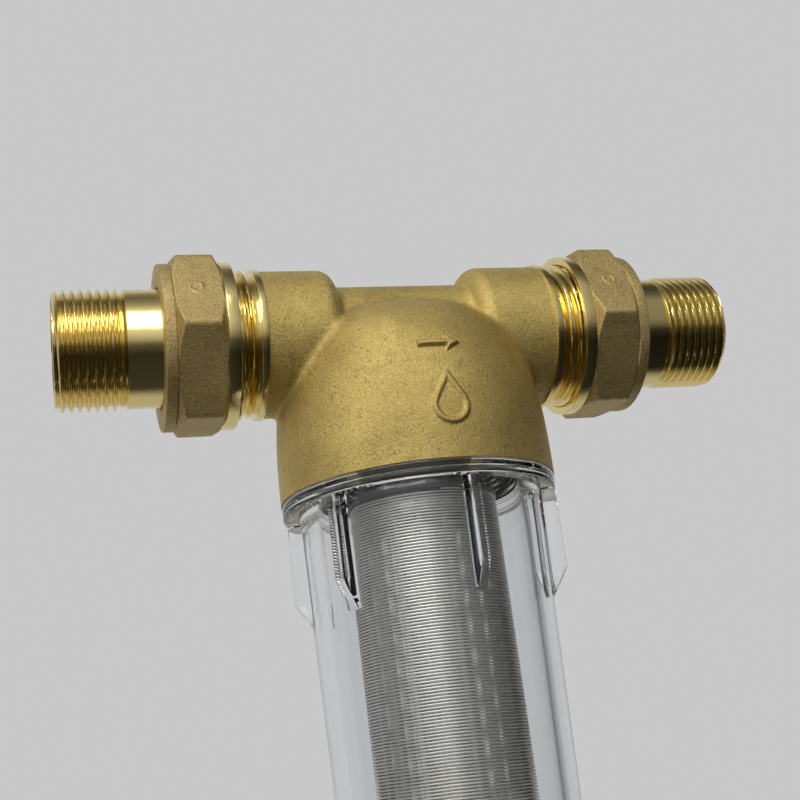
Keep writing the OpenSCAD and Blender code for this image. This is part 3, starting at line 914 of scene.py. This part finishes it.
def upright(obj):
    """Turns a part made about Z to the lever's shaft, which runs along Y at the ball."""
    obj.data.transform(Matrix.Translation((0, 0, BALL_Z * MM))
                       @ Matrix.Rotation(math.pi / 2, 4, "X"))
    return obj


def make_drain():
    """Drain valve: threaded body with its hexagon and shaft boss, and a barbed hose end."""
    seat = BOWL_FOOT - 1.5
    hex_low = seat - 6.5
    pitch, thread_r, depth = 1.814, 10.48, 1.1
    columns = 144
    angle = ring_angles(columns)
    top = BOWL_FOOT + 9
    along = [top - 0.5, top, top, top - 0.4]
    radius = [5.0, 5.5, thread_r - depth - 0.3, thread_r - depth]
    levels = np.linspace(top - 0.5, BOWL_FOOT + 0.4, 66)
    along += list(levels)
    radius += thread_rows(levels, angle, BOWL_FOOT, top, pitch, thread_r, depth, 1.2)
    barrel = 12.5
    rest = fillet([(seat, thread_r - depth), (seat, 14.2), (seat - 1.0, 14.2),
                   (seat - 1.0, barrel), (VALVE_LOW, barrel), (VALVE_LOW, 9.0),
                   (BALL_Z + 8, 9.0), (BALL_Z + 8, 5.0)],
                  [0.0, 0.35, 0.2, 0.0, 0.6, 0.3, 0.0, 0.0], 3)
    along += [p[0] for p in rest]
    radius += [p[1] for p in rest]
    body = ring_surface("drain_barrel", along, radius, "z", False, columns, 30)
    finish_piece(body, "bowl_unit", "machined_brass", TURNED_Z, "drain_body")
    nut = hexagon_ring("drain_hexagon", 13.5, hex_low, seat - 1.0, barrel - 0.2, 0.0)
    finish_piece(nut, "bowl_unit", "machined_brass", TURNED_Z)
    boss = fillet([(9.5, 3.05), (9.5, 6.6), (12.4, 5.7), (17.0, 5.5), (17.0, 3.05)],
                  [0, 0, 0.6, 0.5, 0.25], 4)
    side = upright(turned("drain_side_boss", boss, "z", False, 64, 30))
    finish_piece(side, "bowl_unit", "machined_brass", TURNED_Z)

    barb_top = VALVE_LOW - 5
    hexagon = hexagon_ring("hose_hexagon", 11.0, barb_top, VALVE_LOW, 6.2, math.radians(30))
    finish_piece(hexagon, "bowl_unit", "machined_brass", TURNED_Z)
    outline = [(BALL_Z - 8, 4.5), (BALL_Z - 8, 9.0), (VALVE_LOW - 0.3, 9.0),
               (VALVE_LOW - 0.3, 6.4), (barb_top, 6.4)]
    for i in range(4):
        low = barb_top - i * 4
        outline += [(low - 0.4, 6.4), (low - 0.8, 7.4), (low - 1.4, 7.4), (low - 3.95, 6.2)]
    outline += [(HOSE_LOW, 6.1), (HOSE_LOW, 4.5)]
    hose = turned("hose_barbs", fillet(outline, 0.16, 2), "z", False, 96, 30)
    finish_piece(hose, "bowl_unit", "machined_brass", TURNED_Z, "hose_tail")


make_drain()


def make_lever():
    """Moulded lever: round hub, a dished arm that widens to a round thumb end, soft edges."""
    hub_r, hole_r, tip_r = 6.0, 3.02, 5.0
    near, far = -LEVER_BACK, -LEVER_FRONT
    length = LEVER_TIP - tip_r
    arm_near, arm_far = near + 1.5, near + 5.5
    waist_half, waist_flare = 3.7, 1.5

    def plan(grow):
        """Outline of the arm, round at its hub and its tip, grown by a margin."""
        tip, hub = tip_r + grow, hub_r - 0.8 + grow
        half_turn = np.linspace(-math.pi / 2, math.pi / 2, 25)
        shares = np.linspace(0, 1, 12)[1:-1]
        waist = waist_half + waist_flare * (2 * shares - 1) ** 2 + grow
        return np.concatenate([
            np.stack([length + tip * np.cos(half_turn), tip * np.sin(half_turn)], -1),
            np.stack([length * (1 - shares), waist], -1),
            np.stack([-hub * np.cos(half_turn), -hub * np.sin(half_turn)], -1),
            np.stack([length * shares, -waist], -1)])

    rows = []
    for y, grow in ((arm_near, -0.9), (arm_near + 0.15, -0.35), (arm_near + 0.6, 0.0),
                    (arm_far - 0.6, 0.0), (arm_far - 0.15, -0.35), (arm_far, -0.9),
                    (arm_far, -1.9), (arm_far - 0.5, -2.4)):
        xz = plan(grow)
        rows.append(np.stack([xz[:, 0], np.full(len(xz), -y), xz[:, 1]], -1))
    sides = len(rows[0])
    faces = grid_faces(len(rows), sides, False)
    faces.append(list(range(sides))[::-1])
    faces.append(list(range((len(rows) - 1) * sides, len(rows) * sides)))
    points = np.concatenate(rows)
    points[:, 2] += BALL_Z
    arm = new_object("lever_arm", points, faces, 30)
    finish_piece(arm, "drain_lever", "red_lever", RED, "drain_handle")
    outline = fillet([(near, hole_r), (near, hub_r), (far, hub_r - 0.3), (far, hole_r)],
                     [0.3, 0.5, 0.8, 0.3], 4)
    hub = upright(turned("lever_hub", outline, "z", False, 96, 30))
    finish_piece(hub, "drain_lever", "red_lever", RED)


make_lever()


# ---------------------------------------------------------------- CAD nodes that stay

KEPT = {
    RUBBER: ("inlet_gasket", "outlet_gasket", "bowl_oring", "screen_top_oring", "stem_oring",
             "drain_seal_ring"),
    CAP_GREY: ("screen_bottom_cap",),
    CAP_STEEL: ("screen_rods", "magnet_sheath",
                "magnet_end_plug", "magnet_spider", "handle_screw"),
    MAGNET: ("magnets", "pole_spacers"),
    SEAT: ("ball_seat_upper", "ball_seat_lower"),
    PLATED: ("drain_ball",),
    TURNED_Z: ("drain_stem",),
}
for material, names in KEPT.items():
    for name in names:
        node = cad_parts[name]
        node.data.materials.clear()
        node.data.materials.append(material)


# ---------------------------------------------------------------- floor, light and camera

BACKDROP = 0.58
CAMERA_PLACE = Vector((-80.57, -273.58, -101.68))
CAMERA_BACKWARD = Vector((-0.2659, -0.9181, -0.2940))
CAMERA_UP = Vector((0.0419, -0.3157, 0.9479))


def make_floor():
    """A plain pale floor, below the hose end and the opened lever."""
    lowest = min(HOSE_LOW, BALL_Z - LEVER_TIP) - 6
    size = 3000.0
    points = [(-size, -size, lowest), (size, -size, lowest), (size, size, lowest),
              (-size, size, lowest)]
    floor = new_object("floor", points, [[0, 1, 2, 3]])
    m = Nodes(bpy.data.materials.new("floor_paint"))
    m.link(m.ramp(m.noise(3, 2), (0.3, 0.72), (0.7, 0.76)), "Base Color")
    m.set(Roughness=0.9)
    floor.data.materials.append(m.owner)
    floor.visible_glossy = False


def make_lamp(name, middle, target, size, power, colour):
    """A rectangular soft box at a point, turned to a target."""
    light = bpy.data.lights.new(name, "AREA")
    light.shape = "RECTANGLE"
    light.size, light.size_y = (s * MM for s in size)
    light.energy = power
    light.color = colour
    lamp = linked(name, light)
    direction = Vector(target) - Vector(middle)
    lamp.matrix_world = (Matrix.Translation(Vector(middle) * MM)
                         @ direction.to_track_quat("-Z", "Y").to_matrix().to_4x4())


def make_sky_lamp():
    """Even light from above for the floor and the plastics, unseen in the metal."""
    light = bpy.data.lights.new("sky", "SUN")
    light.energy = 1.1
    light.angle = math.radians(80)
    lamp = linked("sky", light)
    lamp.rotation_euler = (math.radians(30), math.radians(-18), 0)
    lamp.visible_glossy = False


def make_world():
    """Plain pale studio. The metal reflects it bright in front, dim overhead and below."""
    world = bpy.data.worlds.new("studio")
    bpy.context.scene.world = world
    m = Nodes(world, "Generated")
    x, y, z = m.add("ShaderNodeSeparateXYZ", {0: m.coordinates}).outputs[:3]
    height = m.math("ARCTAN2", z, m.math("MULTIPLY", y, -1.0))
    turn = m.math("MULTIPLY_ADD", height, 1 / (2 * math.pi), 0.5)
    band = m.ramp(turn, (0.0, 0.58), (0.12, 0.50), (0.17, 0.30), (0.22, 0.05), (0.42, 0.03),
                  (0.47, 0.10), (0.50, 0.50), (0.54, 0.85), (0.66, 0.85), (0.70, 0.36),
                  (0.76, 0.14), (0.82, 0.30), (0.88, 0.58), (1.0, 0.58))
    sides = m.ramp(m.math("MULTIPLY_ADD", x, 0.5, 0.5),
                   (0.0, 0.75), (0.25, 1.0), (0.5, 0.95), (0.64, 0.5), (0.95, 0.10))
    front = m.math("MULTIPLY", band, sides)
    behind = m.ramp(y, (0.30, 0.0), (0.62, 1.0))
    back = m.ramp(m.math("MULTIPLY_ADD", z, 0.5, 0.5), (0.30, 0.50), (0.5, 0.57), (0.7, 0.60))
    studio = m.add("ShaderNodeMix", {0: behind, 2: front, 3: back}).outputs[0]
    seen = m.add("ShaderNodeLightPath").outputs["Is Camera Ray"]
    strength = m.add("ShaderNodeMix", {0: seen, 2: studio, 3: BACKDROP}).outputs[0]
    background = m.tree.nodes["Background"]
    m.tree.links.new(strength, background.inputs["Strength"])
    background.inputs["Color"].default_value = (1.0, 1.0, 1.005, 1)


def make_camera():
    """A 60 mm lens just below and to the left of the filter, looking slightly up."""
    camera = linked("camera", bpy.data.cameras.new("camera"))
    camera.data.lens = 59.7
    camera.data.sensor_width = 36.0
    camera.data.clip_start = 0.01
    backward = CAMERA_BACKWARD.normalized()
    right = CAMERA_UP.cross(backward).normalized()
    turn = Matrix((right, backward.cross(right), backward)).transposed()
    camera.matrix_world = Matrix.Translation(CAMERA_PLACE * MM) @ turn.to_4x4()
    bpy.context.scene.camera = camera


make_floor()
make_world()
make_lamp("key", (-260, -460, 400), (0, 0, -20), (520, 420), 2.2, (1.0, 0.985, 0.96))
make_sky_lamp()
make_camera()
bpy.context.scene.view_settings.view_transform = "Standard"
